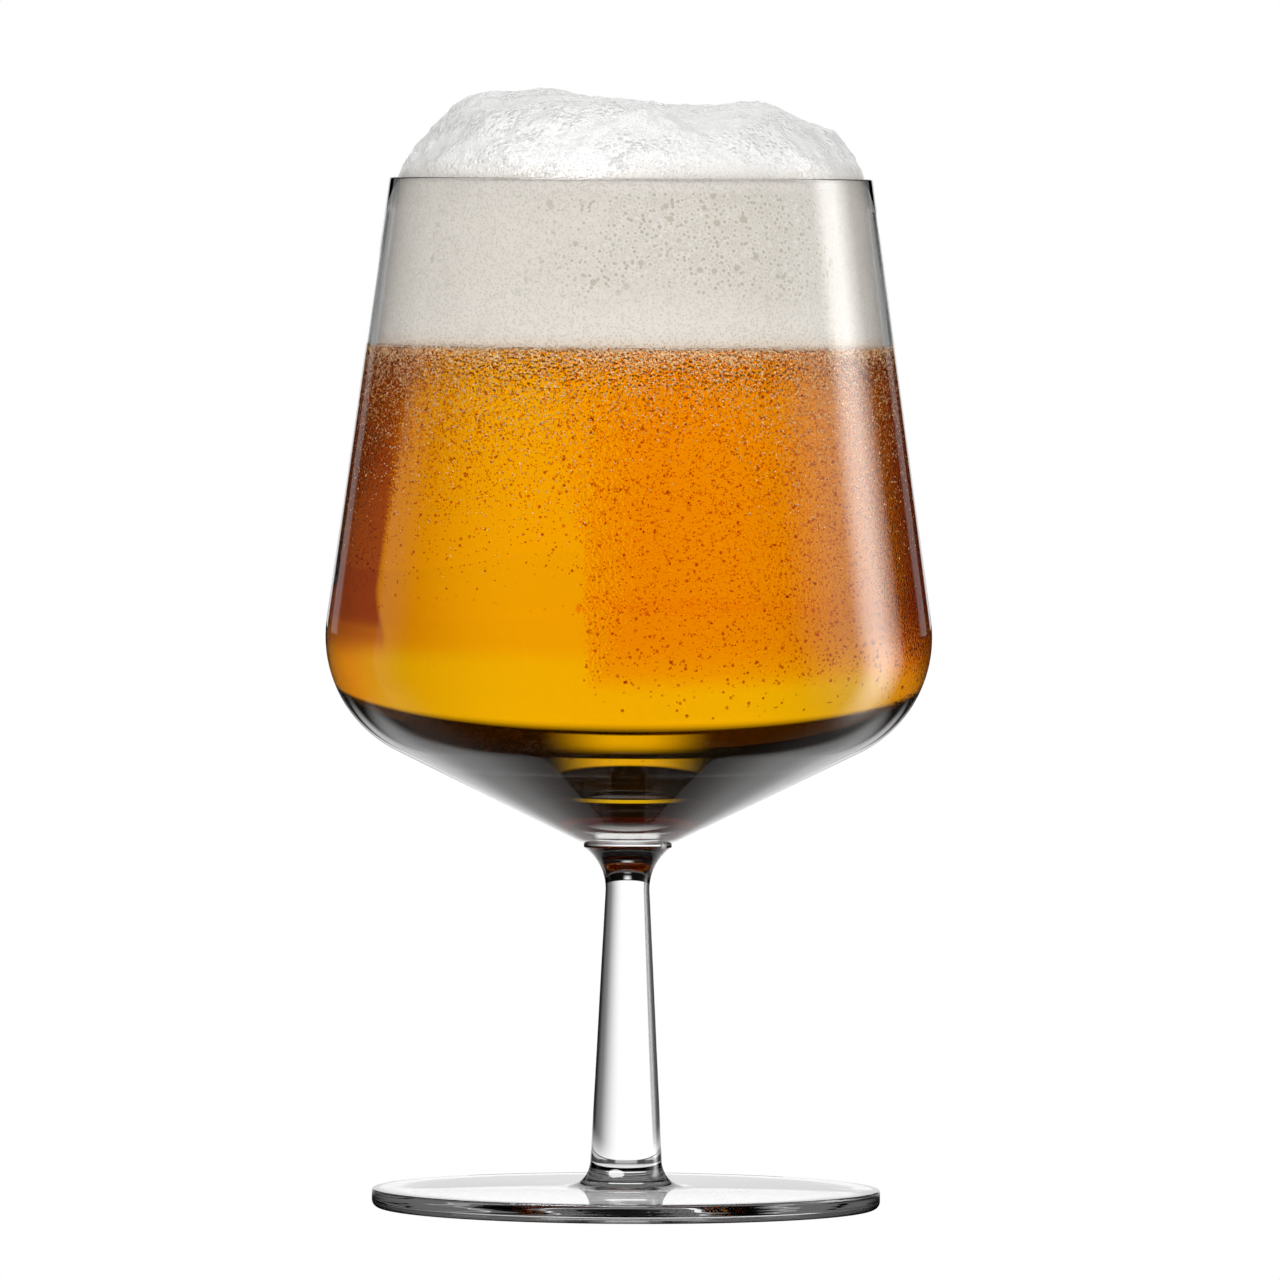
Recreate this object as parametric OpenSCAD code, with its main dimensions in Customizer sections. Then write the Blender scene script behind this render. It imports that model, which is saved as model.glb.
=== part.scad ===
// Stemmed beer glass with a poured beer: a blown bowl, a drawn stem and a pressed foot,
// fused in line, with the beer and its foam head standing in the bowl.
// Millimetres, +Z up, origin on the table under the middle of the foot.

/* [Bowl] */
// Height of the bowl, from the flat where it is fused to the stem up to the rim
bowl_h = 104.6; // [92:0.1:120]
// Outside diameter of the mouth, where its rounded lip begins
rim_d = 76; // [70:1:84]
// Outside diameter at the widest point
belly_d = 95.4; // [88:0.1:104]
// Height of the widest point above that flat
belly_h = 32.5; // [28:0.1:38]
// Outside radius of the shoulder that turns the side into the underside
shoulder_r = 20; // [15:0.5:24]
// Wall at the rim
rim_wall = 1.2; // [0.8:0.1:2]
// Wall round the shoulder
shoulder_wall = 2; // [1.4:0.1:3]
// Glass on the axis, between the drink and the stem
floor_wall = 6.4; // [4:0.1:9]
// Radius of the polished corners of the lip
lip_round = 0.3; // [0.1:0.05:0.4]

/* [Stem] */
// Height of the stem's top above the table, where the bowl is fused to it
collar_z = 57.4; // [48:0.1:70]
// Diameter of the stem's collar and of the bowl's flat on it
collar_d = 13.8; // [11:0.1:17]
// Diameter of the stem at its narrowest, just under the bowl
neck_d = 6.9; // [5:0.1:9]
// Radius of the flare that opens the neck into the collar
flare_r = 8; // [5:0.5:12]
// Height of the thin upright edge round the collar
collar_edge = 0.6; // [0.2:0.1:1.5]

/* [Foot] */
// Diameter of the foot
foot_d = 80; // [64:1:92]
// Height of the foot's edge
foot_edge = 3; // [2:0.1:5]
// Diameter of the foot's boss, where the stem is fused to it
boss_d = 11.3; // [9:0.1:14]
// Height of that joint
boss_z = 7.2; // [5.5:0.1:10]
// Radius of the fillet round the boss
boss_fillet = 4; // [2:0.1:5]
// Radius of the upper corner of the edge
edge_top_round = 0.3; // [0.1:0.05:0.8]
// Radius of the lower corner of the edge
edge_low_round = 1.2; // [0.4:0.1:1.6]
// Width of the flat ring that the glass stands on
ring_w = 3.8; // [2:0.1:8]
// Depth of the hollow under the foot, on the axis
recess_h = 1.2; // [0.5:0.1:2]

/* [Drink] */
// Depth of the foam head below the lip, down to the beer
head_depth = 26; // [12:1:45]
// Height of the foam's dome above the lip
dome_h = 12.8; // [6:0.1:20]

/* [Hidden] */
$fn = 128;
// Sides of a circle so large that its facets would show
large_circle_sides = 1440;
// How far a cut runs past the face that it opens
overrun = 1;

// Point on a circle at an angle
function on_circle(c, r, a) = c + r * [cos(a), sin(a)];

// Angle of the point where a line from point p touches a circle, on its right (1) or left (-1) side
function touch_angle(p, c, r, side) = atan2(p.y - c.y, p.x - c.x) - side * acos(r / norm(p - c));

// Outside of the bowl: straight lines from the lip and from the collar touch the shoulder circle
rim_r = rim_d / 2;
collar_r = collar_d / 2;
rim_z = collar_z + bowl_h;
belly_z = collar_z + belly_h;
lip_z = rim_z - lip_round;
shoulder_c = [belly_d / 2 - shoulder_r, belly_z];
lip_out = [rim_r, lip_z];
collar_out = [collar_r, collar_z];
side_touch = on_circle(shoulder_c, shoulder_r, touch_angle(lip_out, shoulder_c, shoulder_r, 1));
under_touch = on_circle(shoulder_c, shoulder_r, touch_angle(collar_out, shoulder_c, shoulder_r, -1));

// Inside of the bowl: the same centre, and a round basin that touches the shoulder circle
inner_r = shoulder_r - shoulder_wall;
lip_in = [rim_r - rim_wall, lip_z];
wall_touch = on_circle(shoulder_c, inner_r, touch_angle(lip_in, shoulder_c, inner_r, 1));
floor_z = collar_z + floor_wall;
basin_h = belly_z - floor_z;
basin_r = (pow(shoulder_c.x, 2) + pow(basin_h, 2) - pow(inner_r, 2)) / (2 * (basin_h - inner_r));
basin_c = [0, floor_z + basin_r];
basin_angle = atan2(shoulder_c.y - basin_c.y, shoulder_c.x);
basin_touch = on_circle(shoulder_c, inner_r, basin_angle);

// Radius of the straight inner wall at a height
wall_slope = (lip_in.x - wall_touch.x) / (lip_in.y - wall_touch.y);
function wall_r(z) = lip_in.x + wall_slope * (z - lip_in.y);

// Stem: a taper from the foot's boss that touches the flare circle under the collar
neck_r = neck_d / 2;
boss_out = [boss_d / 2, boss_z];
flare_side = flare_r - (collar_r - neck_r);
neck_z = collar_z - collar_edge - sqrt(pow(flare_r, 2) - pow(flare_side, 2));
flare_c = [neck_r + flare_r, neck_z];
taper_angle = touch_angle(boss_out, flare_c, flare_r, 1) + 180;
taper_touch = on_circle(flare_c, flare_r, taper_angle + 180);

// Foot: the boss's fillet carries on from the stem, and one line touches it and the edge's corner
foot_r = foot_d / 2;
fillet_c = on_circle(boss_out, boss_fillet, taper_angle);
edge_top_c = [foot_r - edge_top_round, foot_edge - edge_top_round];
edge_low_c = [foot_r - edge_low_round, edge_low_round];
fillet_to_edge = edge_top_c - fillet_c;
top_turn = acos((boss_fillet + edge_top_round) / norm(fillet_to_edge));
top_angle = atan2(fillet_to_edge.y, fillet_to_edge.x) - top_turn;
fillet_touch = on_circle(fillet_c, boss_fillet, top_angle);
edge_touch = on_circle(edge_top_c, edge_top_round, top_angle + 180);
recess_edge_r = edge_low_c.x - ring_w;
recess_r = (pow(recess_edge_r, 2) + pow(recess_h, 2)) / (2 * recess_h);

// Foam: a squarish dome over the mouth, with soft hills and hollows
beer_z = lip_z - head_depth;
crown_sides = 72;
crown_rings = 16;
// How square the dome's outline is, and how it eases into the lip
dome_power = 3.5;
dome_ease = 0.72;
// How fast the hills die away at the lip
hill_fade_power = 8;
// Hills and hollows: place across and along as shares of the mouth's radius, height as a share
// of the dome's height, and breadth as a share of the mouth's radius
hill_shares = [
    [-0.69, 0.00, 0.23, 0.15],
    [-0.36, 0.02, 0.14, 0.13],
    [0.25, 0.00, -0.13, 0.16],
    [0.52, 0.04, 0.06, 0.12],
    [0.88, 0.00, 0.09, 0.10],
    [-0.10, -0.58, 0.08, 0.22],
    [0.42, -0.52, -0.07, 0.18],
    [-0.52, -0.56, 0.09, 0.16],
    [0.62, -0.60, 0.08, 0.14],
    [0.46, 0.56, 0.10, 0.20],
    [-0.30, 0.52, -0.09, 0.18],
    [-0.02, 0.78, 0.08, 0.15],
    [-0.68, 0.50, 0.10, 0.14]
];

// Height of one hill at a point given in shares of the mouth's radius
function hill_at(p, hill) =
    hill[2] * exp(-(pow(p.x - hill[0], 2) + pow(p.y - hill[1], 2)) / (2 * pow(hill[3], 2)));

// Height of the foam above the lip at such a point
function crown_at(p) =
    let (u = min(norm(p), 1))
    let (dome = pow(1 - pow(u, dome_power), dome_ease))
    let (hills = [for (hill = hill_shares) hill_at(p, hill)])
    dome_h * (dome + (1 - pow(u, hill_fade_power)) * (hills * [for (hill = hill_shares) 1]));

// Points round one ring of the crown; rings crowd towards the lip, where the crown is steep
function crown_ring(j) =
    let (u = cos(90 * j / crown_rings))
    [for (i = [0:crown_sides - 1])
        let (p = on_circle([0, 0], u, 360 * i / crown_sides))
        [lip_in.x * p.x, lip_in.x * p.y, lip_z + crown_at(p)]];

// Outline of the space inside the glass, up to a height on its straight wall
module hollow_outline(top_z) {
    polygon([
        [0, basin_touch.y],
        basin_touch,
        wall_touch,
        [wall_r(top_z), top_z],
        [0, top_z]
    ]);
    translate(shoulder_c) circle(inner_r);
    intersection() {
        translate(basin_c) circle(basin_r);
        translate([0, floor_z]) square([basin_touch.x, basin_touch.y - floor_z]);
    }
}

module bowl_outline() {
    difference() {
        union() {
            polygon([[0, collar_z], collar_out, under_touch, side_touch, lip_out, [0, lip_z]]);
            translate(shoulder_c) circle(shoulder_r);
        }
        hollow_outline(lip_z + overrun);
    }
    lip_outline();
}

// The lip: both corners of the wall's top are polished round
module lip_outline() {
    intersection() {
        union() {
            translate([lip_out.x - lip_round, lip_z]) circle(lip_round);
            translate([lip_in.x + lip_round, lip_z]) circle(lip_round);
            translate([lip_in.x + lip_round, lip_z]) square([rim_wall - 2 * lip_round, lip_round]);
        }
        translate(lip_in) square([rim_wall, lip_round]);
    }
}

module stem_outline() {
    polygon([[0, boss_z], boss_out, taper_touch, [0, taper_touch.y]]);
    difference() {
        translate([0, taper_touch.y]) square([collar_r, collar_z - taper_touch.y]);
        translate(flare_c) circle(flare_r);
    }
}

module foot_outline() {
    difference() {
        union() {
            polygon([
                [0, 0],
                [edge_low_c.x, 0],
                [foot_r, edge_low_c.y],
                [foot_r, edge_top_c.y],
                edge_touch,
                fillet_touch,
                [0, fillet_touch.y]
            ]);
            translate(edge_low_c) circle(edge_low_round);
            translate(edge_top_c) circle(edge_top_round);
        }
        translate([0, recess_h - recess_r]) circle(recess_r, $fn = large_circle_sides);
    }
    difference() {
        translate([0, fillet_touch.y]) square([fillet_touch.x, boss_z - fillet_touch.y]);
        translate(fillet_c) circle(boss_fillet);
    }
}

module foot() {
    color("gainsboro", 0.5) rotate_extrude() foot_outline();
}

module stem() {
    color("gainsboro", 0.5) rotate_extrude() stem_outline();
}

module bowl() {
    color("gainsboro", 0.4) rotate_extrude() bowl_outline();
}

module beer() {
    color("orange", 0.8) rotate_extrude() hollow_outline(beer_z);
}

module foam_head() {
    base_ring = [for (i = [0:crown_sides - 1])
        [each on_circle([0, 0], wall_r(beer_z), 360 * i / crown_sides), beer_z]];
    crown = [for (j = [0:crown_rings - 1]) each crown_ring(j)];
    top = [0, 0, lip_z + crown_at([0, 0])];
    rows = crown_rings + 1;
    top_index = rows * crown_sides;
    base_face = [for (i = [0:crown_sides - 1]) i];
    side_faces = [for (j = [0:rows - 2], i = [0:crown_sides - 1])
        let (k = (i + 1) % crown_sides)
        let (low = j * crown_sides, high = low + crown_sides)
        each [[low + i, high + i, high + k], [low + i, high + k, low + k]]];
    top_faces = [for (i = [0:crown_sides - 1])
        let (low = (rows - 1) * crown_sides)
        [low + i, top_index, low + (i + 1) % crown_sides]];
    color("ivory")
        polyhedron(concat(base_ring, crown, [top]), concat([base_face], side_faces, top_faces));
}

foot();
stem();
bowl();
beer();
foam_head();
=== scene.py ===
import math

import bpy
import numpy as np
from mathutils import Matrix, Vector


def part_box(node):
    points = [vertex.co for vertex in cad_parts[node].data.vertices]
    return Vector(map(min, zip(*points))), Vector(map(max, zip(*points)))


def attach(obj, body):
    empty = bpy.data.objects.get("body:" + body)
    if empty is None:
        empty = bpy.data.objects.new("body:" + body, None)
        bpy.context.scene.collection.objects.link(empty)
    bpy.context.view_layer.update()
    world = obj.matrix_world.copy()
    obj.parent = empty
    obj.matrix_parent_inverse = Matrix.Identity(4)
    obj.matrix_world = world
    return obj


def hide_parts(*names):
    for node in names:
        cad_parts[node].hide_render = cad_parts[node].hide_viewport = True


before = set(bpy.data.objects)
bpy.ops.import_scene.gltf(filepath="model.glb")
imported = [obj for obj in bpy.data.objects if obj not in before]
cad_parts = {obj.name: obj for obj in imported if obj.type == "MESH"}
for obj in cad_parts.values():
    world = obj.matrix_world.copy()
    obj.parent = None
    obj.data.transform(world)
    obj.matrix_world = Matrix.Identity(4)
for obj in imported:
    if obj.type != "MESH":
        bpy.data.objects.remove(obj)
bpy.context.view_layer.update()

# A stemmed beer glass with a poured beer. Metres, +Z up, standing on its foot at the origin.

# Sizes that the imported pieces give
foot_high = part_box("foot")[1]
stem_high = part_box("stem")[1]
bowl_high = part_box("bowl")[1]
beer_low, beer_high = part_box("beer")
FOOT_R = foot_high.x
BOSS_Z = foot_high.z
COLLAR_R = stem_high.x
COLLAR_Z = stem_high.z
BELLY_R = bowl_high.x
RIM_Z = bowl_high.z
FLOOR_Z = beer_low.z
BEER_Z = beer_high.z

# Sizes of the glass that a box doesn't show
RIM_R = 0.038
RIM_WALL = 0.0012
LIP_ROUND = 0.0003
BELLY_RISE = 0.0325
SHOULDER_R = 0.020
SHOULDER_WALL = 0.002
NECK_R = 0.00345
FLARE_R = 0.008
COLLAR_EDGE = 0.0006
BOSS_R = 0.00565
BOSS_FILLET = 0.004
FOOT_EDGE = 0.003
EDGE_TOP_ROUND = 0.0003
EDGE_LOW_ROUND = 0.0012
RING_W = 0.0038
RECESS_H = 0.0012

# The beer wets the glass, so its face lies a hair within the wall. The foam stands a hair clear of the wall
# and dips a hair into the beer.
BEER_INSET = -0.0001
FOAM_INSET = 0.0001
FOAM_DIP = 0.00005

# Gas in the drink: it clings to one side of a soft upright edge, and reaches lower there
GAS_EDGE = -0.0065
GAS_SOFT = 0.001
GAS_LOW_Z = 0.078
GAS_THIN_Z = 0.092

# Fineness of the meshes: sides round the axis, and steps along each stretch of an outline
SIDES = 320
BEER_SIDES = 200
FOAM_SIDES = 360
CROWN_RINGS = 150
FOAM_WALL_ROWS = 36
BASIN_STEPS = 40
HOLLOW_SHOULDER_STEPS = 40
HOLLOW_WALL_STEPS = 12
UNDERSIDE_STEPS = 16
SHOULDER_STEPS = 56
STRAIGHT_STEPS = 24
LIP_STEPS = 6
FLARE_STEPS = 24
RECESS_STEPS = 24
LOW_CORNER_STEPS = 12
TOP_CORNER_STEPS = 8
FILLET_STEPS = 20
# Points of an outline closer than this count as one, and so do corners of a ball alike to these digits
SAME_POINT = 1e-9
SAME_DIGITS = 9
# Length below which a direction counts as none
NO_LENGTH = 1e-12

rng = np.random.default_rng(20)
deg = math.radians


def span(*angles):
    """Angles given in degrees, in radians."""
    return tuple(deg(angle) for angle in angles)


def on_circle(centre, radius, angle):
    """The point of a circle at an angle."""
    return np.asarray(centre) + radius * np.array([math.cos(angle), math.sin(angle)])


def touch_angle(point, centre, radius, side):
    """Angle at which a line from a point touches a circle, on the circle's right (1) or left (-1)."""
    away = np.asarray(point) - np.asarray(centre)
    return math.atan2(away[1], away[0]) - side * math.acos(radius / np.linalg.norm(away))


def arc(centre, radius, start, end, steps):
    """Points round a circle from one angle to another: centre plus radius times (cos, sin)."""
    turn = np.linspace(start, end, steps + 1)
    return np.asarray(centre) + radius * np.stack([np.cos(turn), np.sin(turn)], axis=1)


def run(start, end, steps):
    """Points along a straight line, evenly spaced."""
    share = np.linspace(0.0, 1.0, steps + 1)[:, None]
    return np.asarray(start) * (1 - share) + np.asarray(end) * share


def chain(*parts):
    """One outline from several, with points that repeat taken out."""
    points = np.concatenate([np.atleast_2d(part) for part in parts])
    step = np.linalg.norm(np.diff(points, axis=0), axis=1)
    return points[np.concatenate([[True], step > SAME_POINT])]


# The bowl's own lines, as (radius, height)
LIP_Z = RIM_Z - LIP_ROUND
shoulder_c = np.array([BELLY_R - SHOULDER_R, COLLAR_Z + BELLY_RISE])
lip_out = np.array([RIM_R, LIP_Z])
lip_in = np.array([RIM_R - RIM_WALL, LIP_Z])
inner_r = SHOULDER_R - SHOULDER_WALL
side_angle = touch_angle(lip_out, shoulder_c, SHOULDER_R, 1)
under_angle = touch_angle((COLLAR_R, COLLAR_Z), shoulder_c, SHOULDER_R, -1)
wall_angle = touch_angle(lip_in, shoulder_c, inner_r, 1)
basin_h = shoulder_c[1] - FLOOR_Z
basin_r = (shoulder_c[0] ** 2 + basin_h ** 2 - inner_r ** 2) / (2 * (basin_h - inner_r))
basin_c = np.array([0.0, FLOOR_Z + basin_r])
basin_angle = math.atan2(shoulder_c[1] - basin_c[1], shoulder_c[0])


def hollow_outline(inset, top_z):
    """Inside of the bowl from its floor up, drawn in by a small inset: basin, shoulder, straight wall."""
    basin = arc(basin_c, basin_r - inset, -math.pi / 2, basin_angle, BASIN_STEPS)
    shoulder = arc(shoulder_c, inner_r - inset, basin_angle, wall_angle, HOLLOW_SHOULDER_STEPS)
    foot_of_wall = shoulder[-1]
    lip = lip_in - inset * np.array([math.cos(wall_angle), math.sin(wall_angle)])
    share = (top_z - foot_of_wall[1]) / (lip[1] - foot_of_wall[1])
    wall = run(foot_of_wall, foot_of_wall + share * (lip - foot_of_wall), HOLLOW_WALL_STEPS)
    outline = chain(basin, shoulder, wall)
    outline[0, 0] = 0.0
    return outline


def bowl_outline():
    """Flat on the collar, underside, shoulder and side out to the lip, then the hollow back to the axis."""
    under_end = on_circle(shoulder_c, SHOULDER_R, under_angle)
    under = run((COLLAR_R, COLLAR_Z), under_end, UNDERSIDE_STEPS)
    shoulder = arc(shoulder_c, SHOULDER_R, under_angle, side_angle, SHOULDER_STEPS)
    side = run(shoulder[-1], lip_out, STRAIGHT_STEPS)
    outer_lip = arc(lip_out - (LIP_ROUND, 0), LIP_ROUND, 0, math.pi / 2, LIP_STEPS)
    inner_lip = arc(lip_in + (LIP_ROUND, 0), LIP_ROUND, math.pi / 2, math.pi, LIP_STEPS)
    inside = hollow_outline(0.0, LIP_Z)[::-1]
    return chain((0, COLLAR_Z), under, shoulder, side, outer_lip, inner_lip, inside)


# The stem's own lines: a taper from the foot's boss that touches the flare under the collar
boss_out = np.array([BOSS_R, BOSS_Z])
flare_rise = math.sqrt(FLARE_R ** 2 - (FLARE_R - (COLLAR_R - NECK_R)) ** 2)
flare_c = np.array([NECK_R + FLARE_R, COLLAR_Z - COLLAR_EDGE - flare_rise])
taper_angle = touch_angle(boss_out, flare_c, FLARE_R, 1) + math.pi


def stem_outline():
    """Flat on the foot, the taper, the flare that touches it, and the collar's thin upright edge."""
    collar_low = np.array([COLLAR_R, COLLAR_Z - COLLAR_EDGE])
    flare_end = math.atan2(collar_low[1] - flare_c[1], collar_low[0] - flare_c[0])
    flare = arc(flare_c, FLARE_R, taper_angle + math.pi, flare_end, FLARE_STEPS)
    taper = run(boss_out, flare[0], STRAIGHT_STEPS)
    return chain((0, BOSS_Z), taper, flare, (COLLAR_R, COLLAR_Z), (0, COLLAR_Z))


def foot_outline():
    """Shallow hollow underneath, standing ring, round lower corner, crisp upper corner, top, boss fillet."""
    fillet_c = on_circle(boss_out, BOSS_FILLET, taper_angle)
    top_c = np.array([FOOT_R - EDGE_TOP_ROUND, FOOT_EDGE - EDGE_TOP_ROUND])
    low_c = np.array([FOOT_R - EDGE_LOW_ROUND, EDGE_LOW_ROUND])
    across = top_c - fillet_c
    top_angle = math.atan2(across[1], across[0])
    top_angle -= math.acos((BOSS_FILLET + EDGE_TOP_ROUND) / np.linalg.norm(across))
    ring_r = low_c[0] - RING_W
    recess_r = (ring_r ** 2 + RECESS_H ** 2) / (2 * RECESS_H)
    recess_turn = math.asin(ring_r / recess_r)
    recess_c = (0, RECESS_H - recess_r)
    recess = arc(recess_c, recess_r, math.pi / 2, math.pi / 2 - recess_turn, RECESS_STEPS)
    recess[0, 0] = 0.0
    low_corner = arc(low_c, EDGE_LOW_ROUND, -math.pi / 2, 0, LOW_CORNER_STEPS)
    top_corner = arc(top_c, EDGE_TOP_ROUND, 0, top_angle + math.pi, TOP_CORNER_STEPS)
    fillet = arc(fillet_c, BOSS_FILLET, top_angle, taper_angle - math.pi, FILLET_STEPS)
    top = run(top_corner[-1], fillet[0], STRAIGHT_STEPS)
    return chain(recess, low_corner, top_corner, top, fillet, (0, BOSS_Z))


def unit_ring(sides):
    """Points (cos a, sin a) evenly round a unit circle."""
    turn = np.linspace(0.0, 2 * math.pi, sides, endpoint=False)
    return np.stack([np.cos(turn), np.sin(turn)], axis=1)


def turned(rows, sides):
    """Grid of (radius, height) rows turned round the axis: each becomes (r cos a, r sin a, z)."""
    heights = np.broadcast_to(rows[:, None, 1:], (len(rows), sides, 1))
    return np.concatenate([rows[:, None, :1] * unit_ring(sides)[None], heights], axis=2)


def close_grid(grid, low_z, high_z):
    """Points and faces of a grid that closes round on itself, with a pole on the axis at each end: quads
    between neighbouring rows, then a fan round the low pole, then a fan round the high pole."""
    rows, sides = grid.shape[:2]
    here = np.arange(rows * sides).reshape(rows, sides)
    beside = np.roll(here, -1, axis=1)
    quads = np.stack([here[:-1], beside[:-1], beside[1:], here[1:]], axis=2).reshape(-1, 4)
    low_pole = np.full(sides, rows * sides)
    fan_low = np.stack([low_pole, beside[0], here[0]], axis=1)
    fan_high = np.stack([here[-1], beside[-1], low_pole + 1], axis=1)
    points = np.concatenate([grid.reshape(-1, 3), [[0, 0, low_z], [0, 0, high_z]]])
    return points, quads.tolist() + fan_low.tolist() + fan_high.tolist()


def revolve(outline, sides):
    """Turns an outline, whose ends are on the axis, into a closed shell. Gives the points, the faces and,
    for each face, the stretch of the outline that it came from."""
    rows = outline[1:-1]
    points, faces = close_grid(turned(rows, sides), outline[0, 1], outline[-1, 1])
    between = np.repeat(np.arange(1, len(rows)), sides)
    stretch = np.concatenate([between, np.zeros(sides, int), np.full(sides, len(rows))])
    return points, faces, stretch


def make_piece(name, points, faces, materials, face_slots=None, crease=deg(30)):
    """Puts points and faces into a smooth mesh piece; edges sharper than the crease angle stay sharp."""
    mesh = bpy.data.meshes.new(name)
    mesh.from_pydata(points, [], faces)
    for material in materials:
        mesh.materials.append(material)
    if face_slots is not None:
        mesh.polygons.foreach_set("material_index", np.asarray(face_slots, np.int32))
    mesh.polygons.foreach_set("use_smooth", np.ones(len(faces), bool))
    mesh.set_sharp_from_angle(angle=crease)
    mesh.update()
    piece = bpy.data.objects.new(name, mesh)
    bpy.context.scene.collection.objects.link(piece)
    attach(piece, "root")
    return piece


class Sheet:
    """Lays nodes into one node tree and hands back their output sockets."""

    def __init__(self, tree):
        self.tree = tree

    def node(self, kind, **settings):
        """A new node with its settings."""
        made = self.tree.nodes.new(kind)
        for name, value in settings.items():
            setattr(made, name, value)
        return made

    def feed(self, socket, value):
        """Links an output to an input, or sets a plain value on it."""
        if isinstance(value, bpy.types.NodeSocket):
            self.tree.links.new(value, socket)
        else:
            socket.default_value = value

    def math(self, operation, *values):
        """The result of one operation on values."""
        made = self.node("ShaderNodeMath", operation=operation)
        for socket, value in zip(made.inputs, values):
            self.feed(socket, value)
        return made.outputs[0]

    def total(self, *values):
        """Sum of several values."""
        result = values[0]
        for value in values[1:]:
            result = self.math("ADD", result, value)
        return result

    def times(self, *values):
        """Product of several values."""
        result = values[0]
        for value in values[1:]:
            result = self.math("MULTIPLY", result, value)
        return result

    def slope(self, value, start, end, low=0.0, high=1.0):
        """Smooth step: low before start, high after end."""
        made = self.node("ShaderNodeMapRange", interpolation_type="SMOOTHSTEP")
        self.feed(made.inputs["Value"], value)
        ends = {"From Min": start, "From Max": end, "To Min": low, "To Max": high}
        for socket, plain in ends.items():
            made.inputs[socket].default_value = plain
        return made.outputs["Result"]

    def band(self, value, start, end, soft_start, soft_end):
        """One between start and end, falling to nothing over a soft width at each side."""
        rise = self.slope(value, start - soft_start, start)
        fall = self.slope(value, end, end + soft_end, 1.0, 0.0)
        return self.math("MULTIPLY", rise, fall)

    def mix(self, kind, share, plain, other):
        """A mix of two values (FLOAT) or colours (RGBA) by a share."""
        made = self.node("ShaderNodeMix", data_type=kind)
        ending = {"FLOAT": "Float", "RGBA": "Color"}[kind]
        sockets = {socket.identifier: socket for socket in made.inputs}
        self.feed(sockets["Factor_Float"], share)
        self.feed(sockets["A_" + ending], plain)
        self.feed(sockets["B_" + ending], other)
        return next(socket for socket in made.outputs if socket.identifier == "Result_" + ending)

    def choose(self, share, plain, other):
        """A mix of two values by a share."""
        return self.mix("FLOAT", share, plain, other)

    def tint(self, share, plain, other, way="MIX"):
        """A mix of two colours; a value that is put in counts as grey."""
        result = self.mix("RGBA", share, plain, other)
        result.node.blend_type = way
        return result

    def noise(self, where, scale, detail=2.0):
        """Soft random values over a surface."""
        made = self.node("ShaderNodeTexNoise")
        self.feed(made.inputs["Vector"], where)
        made.inputs["Scale"].default_value = scale
        made.inputs["Detail"].default_value = detail
        return made.outputs["Fac"]

    def cells(self, where, scale):
        """Distance to the nearest cell's middle, and the cell's own random colour."""
        made = self.node("ShaderNodeTexVoronoi")
        self.feed(made.inputs["Vector"], where)
        made.inputs["Scale"].default_value = scale
        return made.outputs["Distance"], made.outputs["Color"]

    def split(self, vector):
        """The x, y and z of a vector."""
        made = self.node("ShaderNodeSeparateXYZ")
        self.feed(made.inputs[0], vector)
        return made.outputs

    def bump(self, height, strength, distance):
        """A normal that shows a height."""
        made = self.node("ShaderNodeBump")
        made.inputs["Strength"].default_value = strength
        made.inputs["Distance"].default_value = distance
        self.feed(made.inputs["Height"], height)
        return made.outputs["Normal"]


def new_material(name, **sockets):
    """A material with a bare Principled shader, its plain values set by socket name."""
    material = bpy.data.materials.new(name)
    material.use_nodes = True
    sheet = Sheet(material.node_tree)
    shader = material.node_tree.nodes["Principled BSDF"]
    for socket, value in sockets.items():
        shader.inputs[socket].default_value = value
    where = sheet.node("ShaderNodeTexCoord").outputs["Object"]
    return material, sheet, shader, where


def grey(level):
    """A plain grey light or tint of one level."""
    return (level, level, level, 1.0)


WHITE = grey(1.0)
BLACK = grey(0.0)
# Glass: the slow waves that blowing leaves, fine streaks round the foot's edge, and their relief
WAVE_SCALE = 45.0
STREAK_SCALE = (14.0, 14.0, 1100.0)
STREAK_SHARE = 0.35
STREAK_FADE = 0.001
GLASS_RELIEF = {"strength": 0.2, "distance": 0.0004}


def clear_glass():
    """Colourless blown glass: polished, with faint slow waves, and fine streaks round the foot's edge."""
    material, sheet, shader, where = new_material("clear_glass", **{
        "Base Color": WHITE,
        "Roughness": 0.0,
        "IOR": 1.53,
        "Transmission Weight": 1.0,
    })
    waves = sheet.noise(where, WAVE_SCALE, 1.0)
    drawn_out = sheet.node("ShaderNodeMapping")
    drawn_out.inputs["Scale"].default_value = STREAK_SCALE
    sheet.feed(drawn_out.inputs["Vector"], where)
    low = sheet.slope(sheet.split(where)["Z"], FOOT_EDGE, FOOT_EDGE + STREAK_FADE, 1.0, 0.0)
    streaks = sheet.times(sheet.noise(drawn_out.outputs["Vector"], 1.0, 1.0), low)
    height = sheet.total(waves, sheet.times(streaks, STREAK_SHARE))
    sheet.feed(shader.inputs["Normal"], sheet.bump(height, **GLASS_RELIEF))
    return material


def fused_seam():
    """Inside face of a hot joint, where the two glasses have run into one: it doesn't show."""
    return new_material("fused_seam", **{"Base Color": WHITE, "Alpha": 0.0})[0]


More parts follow.
